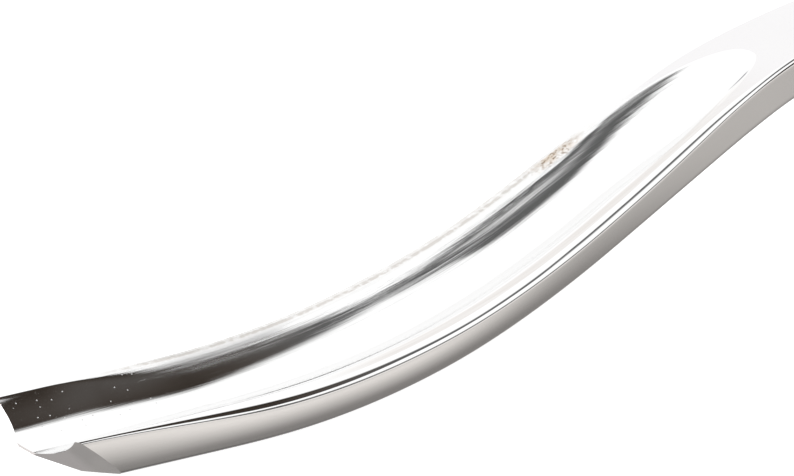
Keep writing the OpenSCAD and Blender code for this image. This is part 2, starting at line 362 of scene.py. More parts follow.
def ring_points(s):
    """The section at s, across and up from the edge line, starting at the far rim of the hollow."""
    h, t, c, d = half_width(s), wall_height(s), hollow_half_width(s), hollow_depth(s)
    la, lb, lean, tuck, b = lip_run(s), lip_fall(s), side_lean(s), side_tuck(s), BOTTOM_CORNER
    e = np.linspace(1, -1, HOLLOW_N)
    hollow = np.stack([c * e, -d * bowl(np.abs(e) ** flatness(s), steepest(s))], -1)
    g = np.linspace(0, math.pi / 2, LIP_N)
    near_lip = np.stack([-(h - lean - la + la * np.sin(g)), -lb + lb * np.cos(g)], -1)
    down = np.linspace(0, 1, SIDE_N + 2)[1:-1]
    near_side = np.stack([-h + lean * (1 - down) ** 2 + tuck * down**2, -lb + down * (b - t + lb)], -1)
    q = np.linspace(0, math.pi / 2, CORNER_N)
    near_corner = np.stack([-(h - tuck - b + b * np.cos(q)), b - t - b * np.sin(q)], -1)
    half = np.concatenate([near_lip, near_side, near_corner])
    w = h - tuck - b
    x = np.linspace(-1, 1, BOTTOM_N + 2)[1:-1]
    k = CROWN * (1 - to_shank(s))
    bottom = np.stack([w * x, -t - k * (1 - x * x)], -1)
    far = half[::-1] * [-1, 1]
    return np.concatenate([hollow, half, bottom, far])


def bar_ring(s):
    """The section at s in its place in the frame."""
    p = ring_points(s)
    a = float(heading(s)) * DEG
    x0, z0 = np.interp(s, grid_s, grid_x), np.interp(s, grid_s, grid_z)
    return np.stack([
        START_X + x0 - p[:, 1] * math.sin(a),
        p[:, 0],
        LIFT + z0 + p[:, 1] * math.cos(a),
    ], -1)


def section_marks():
    """1 to -1 from rim to rim of the hollow, 2 at the foot of a lip, 3 at the foot of a side."""
    half = np.concatenate([
        np.linspace(1, 2, LIP_N),
        np.linspace(2, 3, SIDE_N + 2)[1:-1],
        np.linspace(3, 3.5, CORNER_N),
    ])
    return np.concatenate([
        np.linspace(1, -1, HOLLOW_N), -half, np.linspace(-3.5, 3.5, BOTTOM_N), half[::-1],
    ])


def add_bar_attributes(mesh, stations):
    """Metres along and across the bar, and the section marks, for its material."""
    marks_in_hollow = section_marks()
    marks_past_it = np.where(np.abs(marks_in_hollow) < 1, np.sign(marks_in_hollow), marks_in_hollow)
    marks, across = [], []
    for s in stations:
        steps = np.linalg.norm(np.diff(ring_points(s), axis=0), axis=1)
        marks.append(marks_past_it if s > HOLLOW_LEN else marks_in_hollow)
        across.append(np.concatenate([[0], np.cumsum(steps)]))
    point_attribute(mesh, "along", np.repeat(stations, len(marks_in_hollow)) * MM)
    point_attribute(mesh, "across", np.array(across).reshape(-1) * MM)
    point_attribute(mesh, "mark", np.array(marks).reshape(-1))


def bar_blank():
    """The bar before its nose is ground, with the tang on its end."""
    shank_end = float(np.interp(HANDLE_X - START_X, grid_x, grid_s))
    stations = np.unique(np.concatenate([
        np.linspace(-3, 20, 60),
        np.linspace(20, HOLLOW_LEN - 14, 260),
        np.linspace(HOLLOW_LEN - 14, HOLLOW_LEN, 60),
        np.linspace(HOLLOW_LEN, NECK_END + 12, 40),
        np.linspace(NECK_END + 12, shank_end, 30),
    ]))
    rings = [bar_ring(s) for s in stations]
    shoulder = [HANDLE_X, 0, AXIS_Z]
    tang_ring = (rings[-1] - shoulder) * [1, TANG_W / SHANK_W, TANG_T / SHANK_T]
    rings += [tang_ring + shoulder, tang_ring + [HANDLE_X + TANG_L, 0, AXIS_Z]]
    mesh = ring_mesh("lever_bar_polished", rings)
    add_bar_attributes(mesh, np.append(stations, [shank_end + 2, shank_end + TANG_L]))
    fix_normals(mesh)
    return mesh


def grind(bm, origin, normal, slot_index):
    """Cuts away what lies on the normal's side and closes the cut with one face."""
    cut = bmesh.ops.bisect_plane(
        bm, geom=bm.verts[:] + bm.edges[:] + bm.faces[:], dist=1e-7,
        plane_co=Vector(origin) * MM, plane_no=Vector(normal), clear_outer=True,
    )
    edges = [g for g in cut["geom_cut"] if isinstance(g, bmesh.types.BMEdge)]
    made = bmesh.ops.contextual_create(bm, geom=edges)
    for face in made["faces"]:
        face.material_index = slot_index


def grind_nose(mesh):
    """The leading edge's face, the bevel under it and the two corners, all square to the upturned tip."""
    tip = Vector((START_X, 0, LIFT))
    tip_turn = Matrix.Rotation(TIP_UPTURN * DEG, 3, "Y")

    def facing(lean, plan):
        local = Matrix.Rotation(plan * DEG, 3, "Z") @ Matrix.Rotation(-lean * DEG, 3, "Y")
        return tip_turn @ (local @ Vector((-1, 0, 0)))

    bm = bmesh.new()
    bm.from_mesh(mesh)
    grind(bm, tip, facing(0, 0), 1)
    grind(bm, tip + tip_turn @ Vector((0, 0, -HOLLOW_TIP - EDGE_LAND)), facing(90 - EDGE_BEVEL, 0), 1)
    for side in (-1, 1):
        corner = tip + tip_turn @ Vector((SET_BACK, side * TIP_W / 2, 0))
        grind(bm, corner, facing(CORNER_LEAN, -side * CORNER_PLAN), 1)
    bm.to_mesh(mesh)
    bm.free()


# ---------------------------------------------------------------------------
# The handle: ovals skinned along X, distances from the handle's front
# ---------------------------------------------------------------------------
FRONT_X = FERRULE_L + 0.5
GRIP_START = FRONT_X + 10
GRIP_END = HANDLE_L - 34
TAIL_AT = GRIP_END + 8
HANG_AT = HANDLE_L - 17
TAIL_H = GRIP_H - 1
FACE_L = 1.5
GUARD_W = GRIP_W + 5
GUARD_DIP = AXIS_Z - GUARD_H / 2
GUARD_ROUND = 7
SPIGOT = FERRULE_D - 2 * FERRULE_WALL - 2 * GAP
TANG_CORNER = 0.8
STEM_L, STEM_D = 6, PLUG_D - 5
PIN_PLACES = (GRIP_START + 16, GRIP_START + 62)

# How square the ovals are: 2 is an ellipse
GRIP_POWER, TAIL_POWER = 2.4, 3.5

# The mould's seam, a fine groove along the handle's top and bottom
SEAM, SEAM_HALF_WIDTH = 0.16, 0.34
SEAM_TURNS = (-1.6, -1.1, -0.7, -0.4, 0.4, 0.7, 1.1, 1.6)

UPWARDS = Matrix.Rotation(-90 * DEG, 4, "Y")
SIDEWAYS = Matrix.Rotation(90 * DEG, 4, "Z")

turns = np.linspace(0, 360, 145)[:-1]
seam_turns = np.array([k + d for k in (90, 270) for d in SEAM_TURNS])
turns = np.unique(np.concatenate([turns, seam_turns])) * DEG


def super_cos(a, power):
    c = np.cos(a)
    return np.sign(c) * np.abs(c) ** (2 / power)


def oval(x, width, height, power, dip, seam=0.0):
    """A ring across the handle, its lower side reaching dip further down."""
    y = width / 2 * super_cos(turns, power)
    z = height / 2 * super_cos(turns - math.pi / 2, power)
    z = z - np.sign(z) * seam * np.exp(-((y / SEAM_HALF_WIDTH) ** 2)) - dip
    return np.stack([np.full(len(turns), HANDLE_X + x), y, AXIS_Z + z], -1)


def swell(x):
    return 1 - 0.06 * np.cos(2 * math.pi * (x - GRIP_START) / (GRIP_END - GRIP_START))


def soft_corners(keys, rounding, spacing=0.2):
    """Rows of values on a polyline along X, with its corners rounded off."""
    keys = np.array(keys, dtype=float)
    step = np.linalg.norm(np.diff(keys[:, :3] * [1, 0.5, 0.5], axis=0), axis=1) + 1e-6
    at = np.concatenate([[0], np.cumsum(step)])
    t = np.arange(0, at[-1], spacing)
    rows = np.stack([np.interp(t, at, keys[:, k]) for k in range(keys.shape[1])], -1)
    kernel = np.hanning(int(rounding / spacing) + 3)[1:-1]
    kernel /= kernel.sum()
    pad = len(kernel) // 2
    out = []
    for k in range(rows.shape[1]):
        v = np.pad(rows[:, k], pad, mode="reflect", reflect_type="odd")
        out.append(np.convolve(v, kernel, "valid")[:len(t)])
    return thinned(np.stack(out, -1))


def thinned(rows, tolerance=0.004, longest=4.0):
    """Leaves out the rows that a straight line between their neighbours gives."""
    kept, i = [0], 0
    while i < len(rows) - 1:
        j = i + 1
        while j + 1 < len(rows) and rows[j + 1, 0] - rows[i, 0] < longest:
            t = np.linspace(0, 1, j - i + 2)[1:-1, None]
            line = rows[i] * (1 - t) + rows[j + 1] * t
            if np.abs(line - rows[i + 1:j + 1]).max() > tolerance:
                break
            j += 1
        kept.append(j)
        i = j
    return rows[kept]


def core_outline():
    """Rows of x, width, height, squareness and dip down the hard body, front to back."""
    quarter = np.linspace(0, math.pi / 2, 9)
    guard_front = [
        [FRONT_X + 0.6 + 4 * (1 - math.cos(a)), GUARD_W - GUARD_ROUND * (1 - math.sin(a)),
         GUARD_H - GUARD_ROUND * (1 - math.sin(a)), GRIP_POWER, GUARD_DIP]
        for a in quarter
    ]
    guard_back = [
        [GRIP_START - 3 + 3 * math.sin(a), GUARD_W + (GRIP_W + 1.5 - GUARD_W) * (1 - math.cos(a)),
         GUARD_H + (GRIP_H + 1.5 - GUARD_H) * (1 - math.cos(a)), GRIP_POWER, GUARD_DIP * math.cos(a)]
        for a in quarter
    ]
    seat = [
        [x, GRIP_W * swell(x) - 2 * SOFT, GRIP_H * swell(x) - 2 * SOFT, GRIP_POWER, 0]
        for x in np.linspace(GRIP_START, GRIP_END, 40)
    ]
    spigot = [
        [FERRULE_WALL + GAP, SPIGOT - 1, SPIGOT - 1, 2, 0],
        [FERRULE_WALL + GAP + 0.5, SPIGOT, SPIGOT, 2, 0],
        [FRONT_X, SPIGOT, SPIGOT, 2, 0],
        [FRONT_X, FERRULE_D + 1, FERRULE_D + 1, 2, 0],
    ]
    tail = [
        [GRIP_END, GRIP_W + 1, GRIP_H + 1, 3, 0],
        [GRIP_END + 2.5, GRIP_W + 0.5, GRIP_H + 3, TAIL_POWER, 0],
        [TAIL_AT, TAIL_W, TAIL_H + 2, 5, 0],
        [HANDLE_L - 8, TAIL_W, TAIL_H, 5, 0],
        [HANDLE_L - 3.5, TAIL_W - 1, TAIL_H - 6, 4, 0],
        [HANDLE_L - FACE_L, TAIL_W - 4, TAIL_H - 10, TAIL_POWER, 0],
        [HANDLE_L - FACE_L, TAIL_W - 9, TAIL_H - 16, TAIL_POWER, 0],
    ]
    return [*spigot, *guard_front, *guard_back, *seat, *tail]


def core_shape():
    """The hard body with its tang recess, pin bores, hanging bore and plug bore."""
    rings = []
    for x, width, height, power, dip in soft_corners(core_outline(), 1.0):
        rings.append(oval(x, width, height, power, dip, SEAM * float(ease((x - GRIP_START) / 2))))
    mesh = ring_mesh("handle_core_moulded", rings)
    fix_normals(mesh)
    down_half = Matrix.Translation(Vector((-GRIP_H / 2 * MM, 0, 0)))
    aside_half = Matrix.Translation(Vector((-30 * MM, 0, 0)))
    return cut_away(mesh, [
        block(0.5, TANG_L + GAP - 0.5, TANG_W + 2 * GAP, TANG_T + 2 * GAP, TANG_CORNER),
        *[rod(x, PIN_D + 2 * BORE_GAP, GRIP_H, UPWARDS @ down_half) for x in PIN_PLACES],
        rod(HANG_AT, HANG_D + 2 * EYELET_WALL + 2 * BORE_GAP, 60, SIDEWAYS @ aside_half),
        rod(HANDLE_L - FACE_L - STEM_L, STEM_D + 2 * BORE_GAP, 20),
    ])


# ---- The soft grip: a sleeve with ribbed sides and rounded ends ----
RIB_PITCH, RIB_DEPTH = 5.2, 0.75
RIB_FROM, RIB_TO = GRIP_START + 13, GRIP_END - 13
END_ROUND = 0.9


def rib(x):
    inside = ease((x - RIB_FROM) / 3) * ease((RIB_TO - x) / 3)
    phase = (x - RIB_FROM) / RIB_PITCH * 2 * math.pi
    return inside * (0.5 - 0.5 * np.cos(phase)) ** 3


def sleeve_shape():
    """The sleeve, outside from front to back and inside back again. Its groove attribute is 1 in a groove."""
    xs = np.concatenate([
        GRIP_START + GAP + END_ROUND * (1 - np.cos(np.linspace(0, math.pi / 2, 8))),
        np.linspace(GRIP_START + 2, GRIP_END - 2, 300),
        GRIP_END - GAP - END_ROUND * (1 - np.cos(np.linspace(math.pi / 2, 0, 8))),
    ])
    # grooves fade out towards the top and the bottom of the grip
    side_share = ease((np.abs(np.cos(turns)) - 0.25) / 0.35)
    rings, groove = [], []
    for x in xs:
        edge = min(x - GRIP_START - GAP, GRIP_END - GAP - x, END_ROUND)
        drop = END_ROUND - math.sqrt(max(0.0, END_ROUND**2 - (END_ROUND - edge) ** 2))
        ring = oval(x, GRIP_W * swell(x) - 2 * drop, GRIP_H * swell(x) - 2 * drop, GRIP_POWER, 0)
        centre = np.array([HANDLE_X + x, 0, AXIS_Z])
        out = ring - centre
        cut = rib(x) * side_share
        rings.append(centre + out * (1 - (RIB_DEPTH * cut / np.linalg.norm(out, axis=1))[:, None]))
        groove.append(cut)
    inner = 2 * (SOFT - GAP)
    for x in xs[::-1][::6]:
        rings.append(oval(x, GRIP_W * swell(x) - inner, GRIP_H * swell(x) - inner, GRIP_POWER, 0))
        groove.append(np.zeros(len(turns)))
    mesh = ring_mesh("soft_grip_sleeve", rings, caps=False, closed=True)
    point_attribute(mesh, "groove", np.array(groove).reshape(-1))
    return mesh


def ferrule_shape():
    """A pressed cup with a rolled front edge, a turned groove and a slot for the tang."""
    r, length, wall = FERRULE_D / 2, FERRULE_L, FERRULE_WALL
    profile = [
        [0, 0.01], [0, r - 3.2], [0.25, r - 2.9], [0.25, r - 2.2], [0, r - 1.9],
        *arc(1.0, r - 1.0, 1.0, 180, 90),
        [length - 4.4, r], *arc(length - 4.0, r - 0.05, 0.3, 180, 360, 5), [length - 3.6, r],
        *arc(length - 0.35, r - 0.35, 0.35, 90, 0, 4),
        [length, r - wall], [wall + 0.3, r - wall], [wall, r - wall - 0.3], [wall, 0.01],
    ]
    mesh = put(lathe("front_ferrule_pressed", profile), 0)
    fix_normals(mesh)
    return cut_away(mesh, [
        block(-2, wall + 4, TANG_W + 2 * SLOT_GAP, TANG_T + 2 * SLOT_GAP, TANG_CORNER),
    ])


def eyelet_shape():
    """A tube with rolled flanges."""
    r_in, r_out, r_rim = HANG_D / 2, HANG_D / 2 + EYELET_WALL, EYELET_FLANGE / 2
    reach, lip_z = TAIL_W / 2 + GAP + EYELET_LIP, TAIL_W / 2 + GAP
    half = [
        [reach - 0.9, r_in], *arc(reach - 0.9, r_in + 0.9, 0.9, 270, 360)[1:],
        *arc(reach - 0.5, r_rim - 0.5, 0.5, 0, 90),
        *arc(lip_z + 0.3, r_rim - 0.3, 0.3, 90, 180, 4), [lip_z, r_out + 0.2], [lip_z - 0.2, r_out],
    ]
    profile = [[x, r] for x, r in half] + [[-x, r] for x, r in half[::-1]]
    return put(lathe("hang_eyelet_rolled", profile, 96), HANG_AT, SIDEWAYS)


def plug_shape():
    """A stem and a low head with a dimple."""
    head, stem = PLUG_D / 2, STEM_D / 2
    face_at = HANDLE_L - FACE_L + GAP
    foot_at = HANDLE_L - FACE_L - STEM_L + GAP
    profile = [
        [HANDLE_L - 0.5, 0.01], [HANDLE_L - 0.5, 1.2], [HANDLE_L - 0.4, 1.5],
        [HANDLE_L - 0.05, 2.0], [HANDLE_L, 2.3],
        *arc(HANDLE_L - 0.8, head - 0.8, 0.8, 0, 90, 8),
        [face_at + 0.2, head], [face_at, head - 0.2], [face_at, stem + 0.2],
        [face_at - 0.2, stem], [foot_at + 0.6, stem], [foot_at, stem - 0.6], [foot_at, 0.01],
    ]
    return put(lathe("end_plug_moulded", profile, 96), 0)


# ---------------------------------------------------------------------------
# Camera: the spoon seen from the front left
# ---------------------------------------------------------------------------
VIEW_AZ, VIEW_EL, VIEW_ROLL = -35.585, 23.896, -6.870
VIEW_TARGET = (-126.32, -0.454, 30.66)
VIEW_DISTANCE, FOCAL = 600.0, 161.78
AIM_RIGHT, AIM_DOWN = 0.00633, 0.01393


def add_camera():
    az, el, roll = VIEW_AZ * DEG, VIEW_EL * DEG, VIEW_ROLL * DEG
    back = Vector((math.sin(az) * math.cos(el), -math.cos(az) * math.cos(el), math.sin(el)))
    level = Vector((math.cos(az), math.sin(az), 0))
    upright = back.cross(level)
    right = math.cos(roll) * level + math.sin(roll) * upright
    up = -math.sin(roll) * level + math.cos(roll) * upright
    eye = Vector(VIEW_TARGET) + back * VIEW_DISTANCE
    forward = (-back + right * AIM_RIGHT - up * AIM_DOWN).normalized()
    right = forward.cross(up).normalized()
    up = right.cross(forward)
    data = bpy.data.cameras.new("camera")
    data.sensor_width = 36.0
    data.lens = FOCAL
    data.clip_start = 0.01
    data.clip_end = 50
    camera = new_object("camera", data)
    turn = Matrix((right, up, -forward)).transposed().to_4x4()
    camera.matrix_world = Matrix.Translation(eye * MM) @ turn
    bpy.context.scene.camera = camera


# ---------------------------------------------------------------------------
# Material helpers
# ---------------------------------------------------------------------------
class Nodes:
    """Adds shader nodes to a tree. An input is a number, a colour or another node's output."""

    def __init__(self, tree):
        self.tree = tree
        tree.nodes.clear()

    def plug_in(self, socket, value):
        if hasattr(value, "is_output"):
            self.tree.links.new(value, socket)
        else:
            socket.default_value = value

    def add(self, kind, inputs=None, **settings):
        node = self.tree.nodes.new(kind)
        for key, value in settings.items():
            setattr(node, key, value)
        for key, value in (inputs or {}).items():
            self.plug_in(node.inputs[key], value)
        return node

    def math(self, op, a, b=0.0, c=0.0):
        return self.add("ShaderNodeMath", {0: a, 1: b, 2: c}, operation=op).outputs[0]

    def times(self, a, b):
        return self.math("MULTIPLY", a, b)

    def step(self, value, low, high, to_low=0.0, to_high=1.0):
        """Goes smoothly from to_low to to_high as the value goes from low to high."""
        node = self.add("ShaderNodeMapRange", {
            "Value": value, "From Min": low, "From Max": high, "To Min": to_low, "To Max": to_high,
        }, interpolation_type="SMOOTHSTEP")
        return node.outputs[0]

    def mix(self, factor, a, b):
        node = self.add("ShaderNodeMix", {"Factor": factor}, data_type="RGBA")
        self.plug_in(node.inputs[6], a)
        self.plug_in(node.inputs[7], b)
        return node.outputs[2]

    def attribute(self, name):
        return self.add("ShaderNodeAttribute", attribute_name=name).outputs["Fac"]

    def noise(self, vector, scale, detail=3.0, rough=0.5):
        node = self.add("ShaderNodeTexNoise", {
            "Vector": vector, "Scale": scale, "Detail": detail, "Roughness": rough,
        })
        return node.outputs["Fac"]

    def bump(self, strength, distance, height, normal=None):
        inputs = {"Strength": strength, "Distance": distance, "Height": height}
        if normal is not None:
            inputs["Normal"] = normal
        return self.add("ShaderNodeBump", inputs).outputs[0]

    def surface(self, tone, rough, normal, metallic=0.0):
        shader = self.add("ShaderNodeBsdfPrincipled", {
            "Base Color": tone, "Metallic": metallic, "Roughness": rough, "Normal": normal,
        })
        self.add("ShaderNodeOutputMaterial", {"Surface": shader.outputs[0]})


def new_material(name):
    material = bpy.data.materials.new(name)
    material.use_nodes = True
    return material, Nodes(material.node_tree)


def grey(v):
    return (v, v, v, 1.0)


def position(n, x=1.0, y=1.0, z=1.0):
    """The place on the piece in metres, stretched along its axes."""
    at = n.add("ShaderNodeTexCoord").outputs["Object"]
    return n.add("ShaderNodeVectorMath", {0: at, 1: (x, y, z)}, operation="MULTIPLY").outputs[0]


def band(n, value, low, high, soft):
    """1 between low and high, 0 outside, with soft edges."""
    return n.times(n.step(value, low - soft, low + soft), n.step(value, high - soft, high + soft, 1.0, 0.0))


def lines_along(n, along, across, along_scale, across_scale, detail=3.0):
    at = n.add("ShaderNodeCombineXYZ", {
        "X": n.times(along, along_scale), "Y": n.times(across, across_scale),
    })
    return n.noise(at.outputs[0], 1.0, detail, 0.6)


def wear_along_edges(n, spread=0.0006):
    """1 on outer edges, fading to 0 on flats and in hollows."""
    bevel = n.add("ShaderNodeBevel", {"Radius": spread}, samples=4)
    flat = n.add("ShaderNodeNewGeometry").outputs["Normal"]
    bend = n.add("ShaderNodeVectorMath", {0: bevel.outputs[0], 1: flat}, operation="DOT_PRODUCT")
    return n.step(bend.outputs["Value"], 0.90, 0.995, 1.0, 0.0)


# ---------------------------------------------------------------------------
# The bar's plating: polished over a hand-ground forging
# ---------------------------------------------------------------------------
PLATING, OLD_POLISH = (0.91, 0.91, 0.91, 1), (0.86, 0.86, 0.855, 1)
# The next line's two colours paint dark reflections: along the far lip, and just inside the near rim
FAR_LIP_REFLECTION_SHADE, NEAR_RIM_REFLECTION_SHADE = (0.63, 0.60, 0.57, 1), (0.72, 0.69, 0.665, 1)
# On the next line the first two colours paint shade, on the far edge and on the rim and top at the run-out;
# the third is a darker patch of plating
FAR_EDGE_SHADE, RIM_AND_TOP_PAINTED_SHADE, DULL_PATCH = (0.60, 0.60, 0.605, 1), (0.815, 0.805, 0.81, 1), (0.66, 0.655, 0.65, 1)
SATIN_SIDE = (0.90, 0.885, 0.87, 1)
RUST_STAIN, RUST = (0.66, 0.56, 0.45, 1), (0.30, 0.19, 0.10, 1)
# On the next line the first colour paints a dark reflection at the run-out; the second is dust
PAINTED_WEDGE_SHADE, DUST = (0.13, 0.13, 0.15, 1), grey(0.95)


class BarPlaces:
    """Where a point lies on the bar: metres along and across it, and the mark, which tells the
    hollow (-1 to 1) from the lips (to 2) and the sides (to 3). Also its polishing lines."""

    def __init__(self, n):
        self.along = n.attribute("along")
        self.across = n.attribute("across")
        self.mark = n.attribute("mark")
        self.size = n.math("ABSOLUTE", self.mark)
        self.satin = n.step(self.size, 1.85, 2.05)
        self.at = position(n)
        self.fine = lines_along(n, self.along, self.across, 90.0, 4200.0)
        self.broad = lines_along(n, self.along, self.across, 30.0, 1100.0)
        self.coarse = lines_along(n, self.along, self.across, 22.0, 420.0, 2.0)
        self.near_nose = n.times(n.step(self.mark, 0.52, 0.74), band(n, self.along, 0.031, 0.062, 0.010))


def patch(n, bar, along, mark):
    """A soft-edged patch on the bar. Both ranges give low, high and softness."""
    return n.times(band(n, bar.mark, *mark), band(n, bar.along, *along))


def bar_normal(n, bar):
    """Polishing lines, deepest on the far wall between the nose and the run-out, over a fine grain."""
    hollow = n.step(bar.size, 0.97, 1.05, 1.0, 0.0)
    lined_stretch = n.times(n.step(bar.along, 0.014, 0.032), n.step(bar.along, 0.108, 0.132, 1.0, 0.30))
    worked = n.times(n.step(bar.mark, 0.48, 0.70), lined_stretch)
    height = n.math("ADD", n.times(bar.fine, 0.35), bar.broad)
    height = n.math("ADD", height, n.times(n.times(bar.coarse, bar.near_nose), 5.0))
    strength = n.math("ADD", n.times(hollow, n.math("MULTIPLY_ADD", worked, 0.75, 0.16)), 0.05)
    lined = n.bump(strength, 0.00006, height)
    grain = n.noise(bar.at, 5200.0, 2.0, 0.6)
    return n.bump(n.math("MULTIPLY_ADD", bar.satin, 0.30, 0.01), 0.00001, grain, lined)


def bar_haze(n, bar):
    """The least roughness: hazy lines behind the nose, on the ramp's rim and down the far wall."""
    haze = n.times(bar.near_nose, n.step(bar.coarse, 0.25, 0.70, 0.20, 0.62))
    ramp_rim = n.times(n.step(bar.mark, 0.72, 0.95), band(n, bar.along, 0.112, 0.150, 0.010))
    haze = n.math("MAXIMUM", haze, n.times(ramp_rim, n.step(bar.broad, 0.25, 0.75, 0.16, 0.36)))
    streaks = lines_along(n, bar.along, bar.across, 26.0, 2600.0, 4.0)
    streaks = n.times(n.step(streaks, 0.48, 0.72, 0.0, 0.34), band(n, bar.mark, 0.28, 0.92, 0.08))
    haze = n.math("MAXIMUM", haze, n.times(streaks, band(n, bar.along, 0.034, 0.128, 0.012)))
    mottle = n.step(n.noise(bar.at, 1500.0, 4.0, 0.7), 0.54, 0.80)
    mottle = n.times(mottle, band(n, bar.mark, 0.1, 1.0, 0.08))
    return n.math("MAXIMUM", haze, n.times(mottle, n.step(bar.along, 0.030, 0.050, 0.24, 0.0)))


def far_lip_painted_reflection(n, bar):
    """An uneven darker strip on the far lip: a painted reflection of the dark gap overhead."""
    strip = n.math("ADD", n.times(band(n, bar.mark, 0.93, 1.85, 0.08), 0.70),
                   band(n, bar.mark, 0.94, 1.00, 0.025))
    strip = n.times(strip, band(n, bar.along, 0.026, 0.128, 0.008))
    strip = n.times(strip, n.step(n.noise(bar.at, 700.0, 3.0, 0.6), 0.34, 0.62, 0.30, 1.0))
    return n.math("MINIMUM", n.times(strip, 0.75), 0.9)


def painted_dark_wedge(n, bar):
    """A painted dark reflection at the near end of the run-out, on a line that slants across the bar."""
    off_line = n.math("ADD", bar.mark, n.math("MULTIPLY_ADD", bar.along, 19.0, -2.0975))
    dark = n.times(n.step(n.math("ABSOLUTE", off_line), 0.012, 0.045, 1.0, 0.0),
                   band(n, bar.along, 0.1515, 0.1572, 0.0008))
    return n.times(dark, n.step(bar.along, 0.1505, 0.1560, 0.15, 0.9))


def specks(n, bar):
    """Specks of dust stuck to the nose."""
    flat = n.add("ShaderNodeCombineXYZ", {"X": bar.along, "Y": bar.across}).outputs[0]
    dots = n.add("ShaderNodeTexVoronoi", {"Vector": flat, "Scale": 430.0, "Randomness": 1.0},
                 voronoi_dimensions="2D")
    chosen = n.step(n.add("ShaderNodeSeparateColor", {0: dots.outputs["Color"]}).outputs[0], 0.60, 0.64)
    speck = n.times(n.step(dots.outputs["Distance"], 0.03, 0.08, 1.0, 0.0), chosen)
    speck = n.times(speck, band(n, bar.along, 0.003, 0.030, 0.003))
    return n.times(speck, band(n, bar.mark, 0.2, 0.96, 0.03))


def chrome_material(name):
    material, n = new_material(name)
    bar = BarPlaces(n)
    # Painted shade: a thin darker line along the hollow's rim from 135 mm behind the tip, and a greyer top
    # past the hollow's end, standing for the duller tones the chrome reflects there
    land = n.times(n.step(bar.size, 0.985, 1.0), n.step(bar.size, 1.0, 1.08, 1.0, 0.0))
    land = n.times(land, n.step(bar.along, 0.135, 0.150))
    island = n.times(patch(n, bar, (0.026, 0.110, 0.02), (0.70, 0.90, 0.06)), n.step(bar.broad, 0.42, 0.72))
    # A darker, brownish strip just inside the near rim, from 55 to 150 mm behind the tip: a painted dark
    # reflection line
    near_rim_painted_reflection = n.times(patch(n, bar, (0.055, 0.150, 0.014), (-1.02, -0.84, 0.045)),
                         n.step(bar.broad, 0.2, 0.75, 0.6, 1.0))
    # Painted shade: the outer part of the far lip is darkened from about 125 mm behind the tip onwards,
    # standing for a dark reflection there
    far_edge_painted_shade = n.times(n.step(bar.mark, 1.15, 1.5), n.times(n.step(bar.along, 0.125, 0.16), 0.6))
    spots = patch(n, bar, (0.1185, 0.1275, 0.0028), (0.84, 1.12, 0.06))
    rust = n.times(spots, n.step(n.noise(bar.at, 1700.0, 4.0, 0.65), 0.50, 0.62))
    stain = n.times(spots, n.step(n.noise(bar.at, 420.0, 4.0, 0.6), 0.36, 0.62, 0.1, 0.7))
    speck = specks(n, bar)

    tone = n.mix(n.times(bar.broad, 0.5), PLATING, OLD_POLISH)
    # Tone layers. The rim line and top at the run-out, the far lip strip, the near rim strip, the far edge
    # and the run-out wedge are painted shade and painted reflections; the patch, the satin sides, the stains,
    # the rust and the dust are the plating's own colours
    layers = [
        (n.times(land, 0.95), RIM_AND_TOP_PAINTED_SHADE),
        (far_lip_painted_reflection(n, bar), FAR_LIP_REFLECTION_SHADE),
        (n.times(island, 0.35), DULL_PATCH),
        (near_rim_painted_reflection, NEAR_RIM_REFLECTION_SHADE),
        (far_edge_painted_shade, FAR_EDGE_SHADE),
        (n.times(bar.satin, 0.8), SATIN_SIDE),
        (stain, RUST_STAIN),
        (n.times(rust, 0.85), RUST),
        (painted_dark_wedge(n, bar), PAINTED_WEDGE_SHADE),
        (speck, DUST),
    ]
    for cover, colour in layers:
        tone = n.mix(cover, tone, colour)

    rough = n.math("ADD", n.times(bar.satin, 0.15), n.math("MULTIPLY_ADD", bar.fine, 0.05, 0.03))
    rough = n.math("MAXIMUM", rough, bar_haze(n, bar))
    rough = n.math("MAXIMUM", rough, n.times(n.math("MAXIMUM", speck, rust), 0.75))
    n.surface(tone, rough, bar_normal(n, bar), 1.0)
    return material


def ground_material(name):
    """The ground facets of the nose: dull plating over grinding lines, a little stained."""
    material, n = new_material(name)
    at = position(n)
    lines = n.noise(position(n, 3200.0, 260.0, 3200.0), 1.0, 3.0, 0.6)
    grain = n.noise(at, 4200.0, 3.0, 0.6)
    stain = n.noise(at, 260.0, 3.0, 0.55)
    aside = n.math("ABSOLUTE", n.add("ShaderNodeSeparateXYZ", {0: at}).outputs[1])
    inner = n.step(aside, 0.0075, 0.0098, 1.0, 0.0)
    tone = n.mix(n.step(stain, 0.35, 0.7), (0.86, 0.815, 0.785, 1), (0.80, 0.76, 0.735, 1))
    tone = n.mix(n.times(inner, 0.8), tone, (0.97, 0.91, 0.895, 1))
    height = n.math("ADD", n.times(lines, 0.6), grain)
    rough = n.math("MULTIPLY_ADD", grain, 0.12, 0.14)
    n.surface(tone, rough, n.bump(0.35, 0.00001, height), 1.0)
    return material


# ---------------------------------------------------------------------------
# Materials of the handle
# ---------------------------------------------------------------------------
def moulded_plastic(name, base, light, grain, dull):
    """Filled plastic from a spark-eroded mould, a little polished by handling."""
    material, n = new_material(name)
    fine = n.noise(position(n), grain, 4.0, 0.65)
    handled = n.noise(position(n), 70.0, 3.0, 0.55)
    marks = n.noise(position(n, 0.35, 1.0, 1.0), 900.0, 2.0, 0.5)
    tone = n.mix(n.step(handled, 0.35, 0.7), base, light)
    tone = n.mix(n.step(marks, 0.68, 0.76, 0.0, 0.5), tone, grey(0.11))
    tone = n.mix(n.times(wear_along_edges(n), 0.35), tone, grey(0.10))
    rough = n.math("ADD", n.step(handled, 0.3, 0.7, dull, dull - 0.12), n.times(fine, 0.10))
    height = n.math("ADD", fine, n.times(handled, 1.5))
    n.surface(tone, rough, n.bump(0.35, 0.00012, height))
    return material


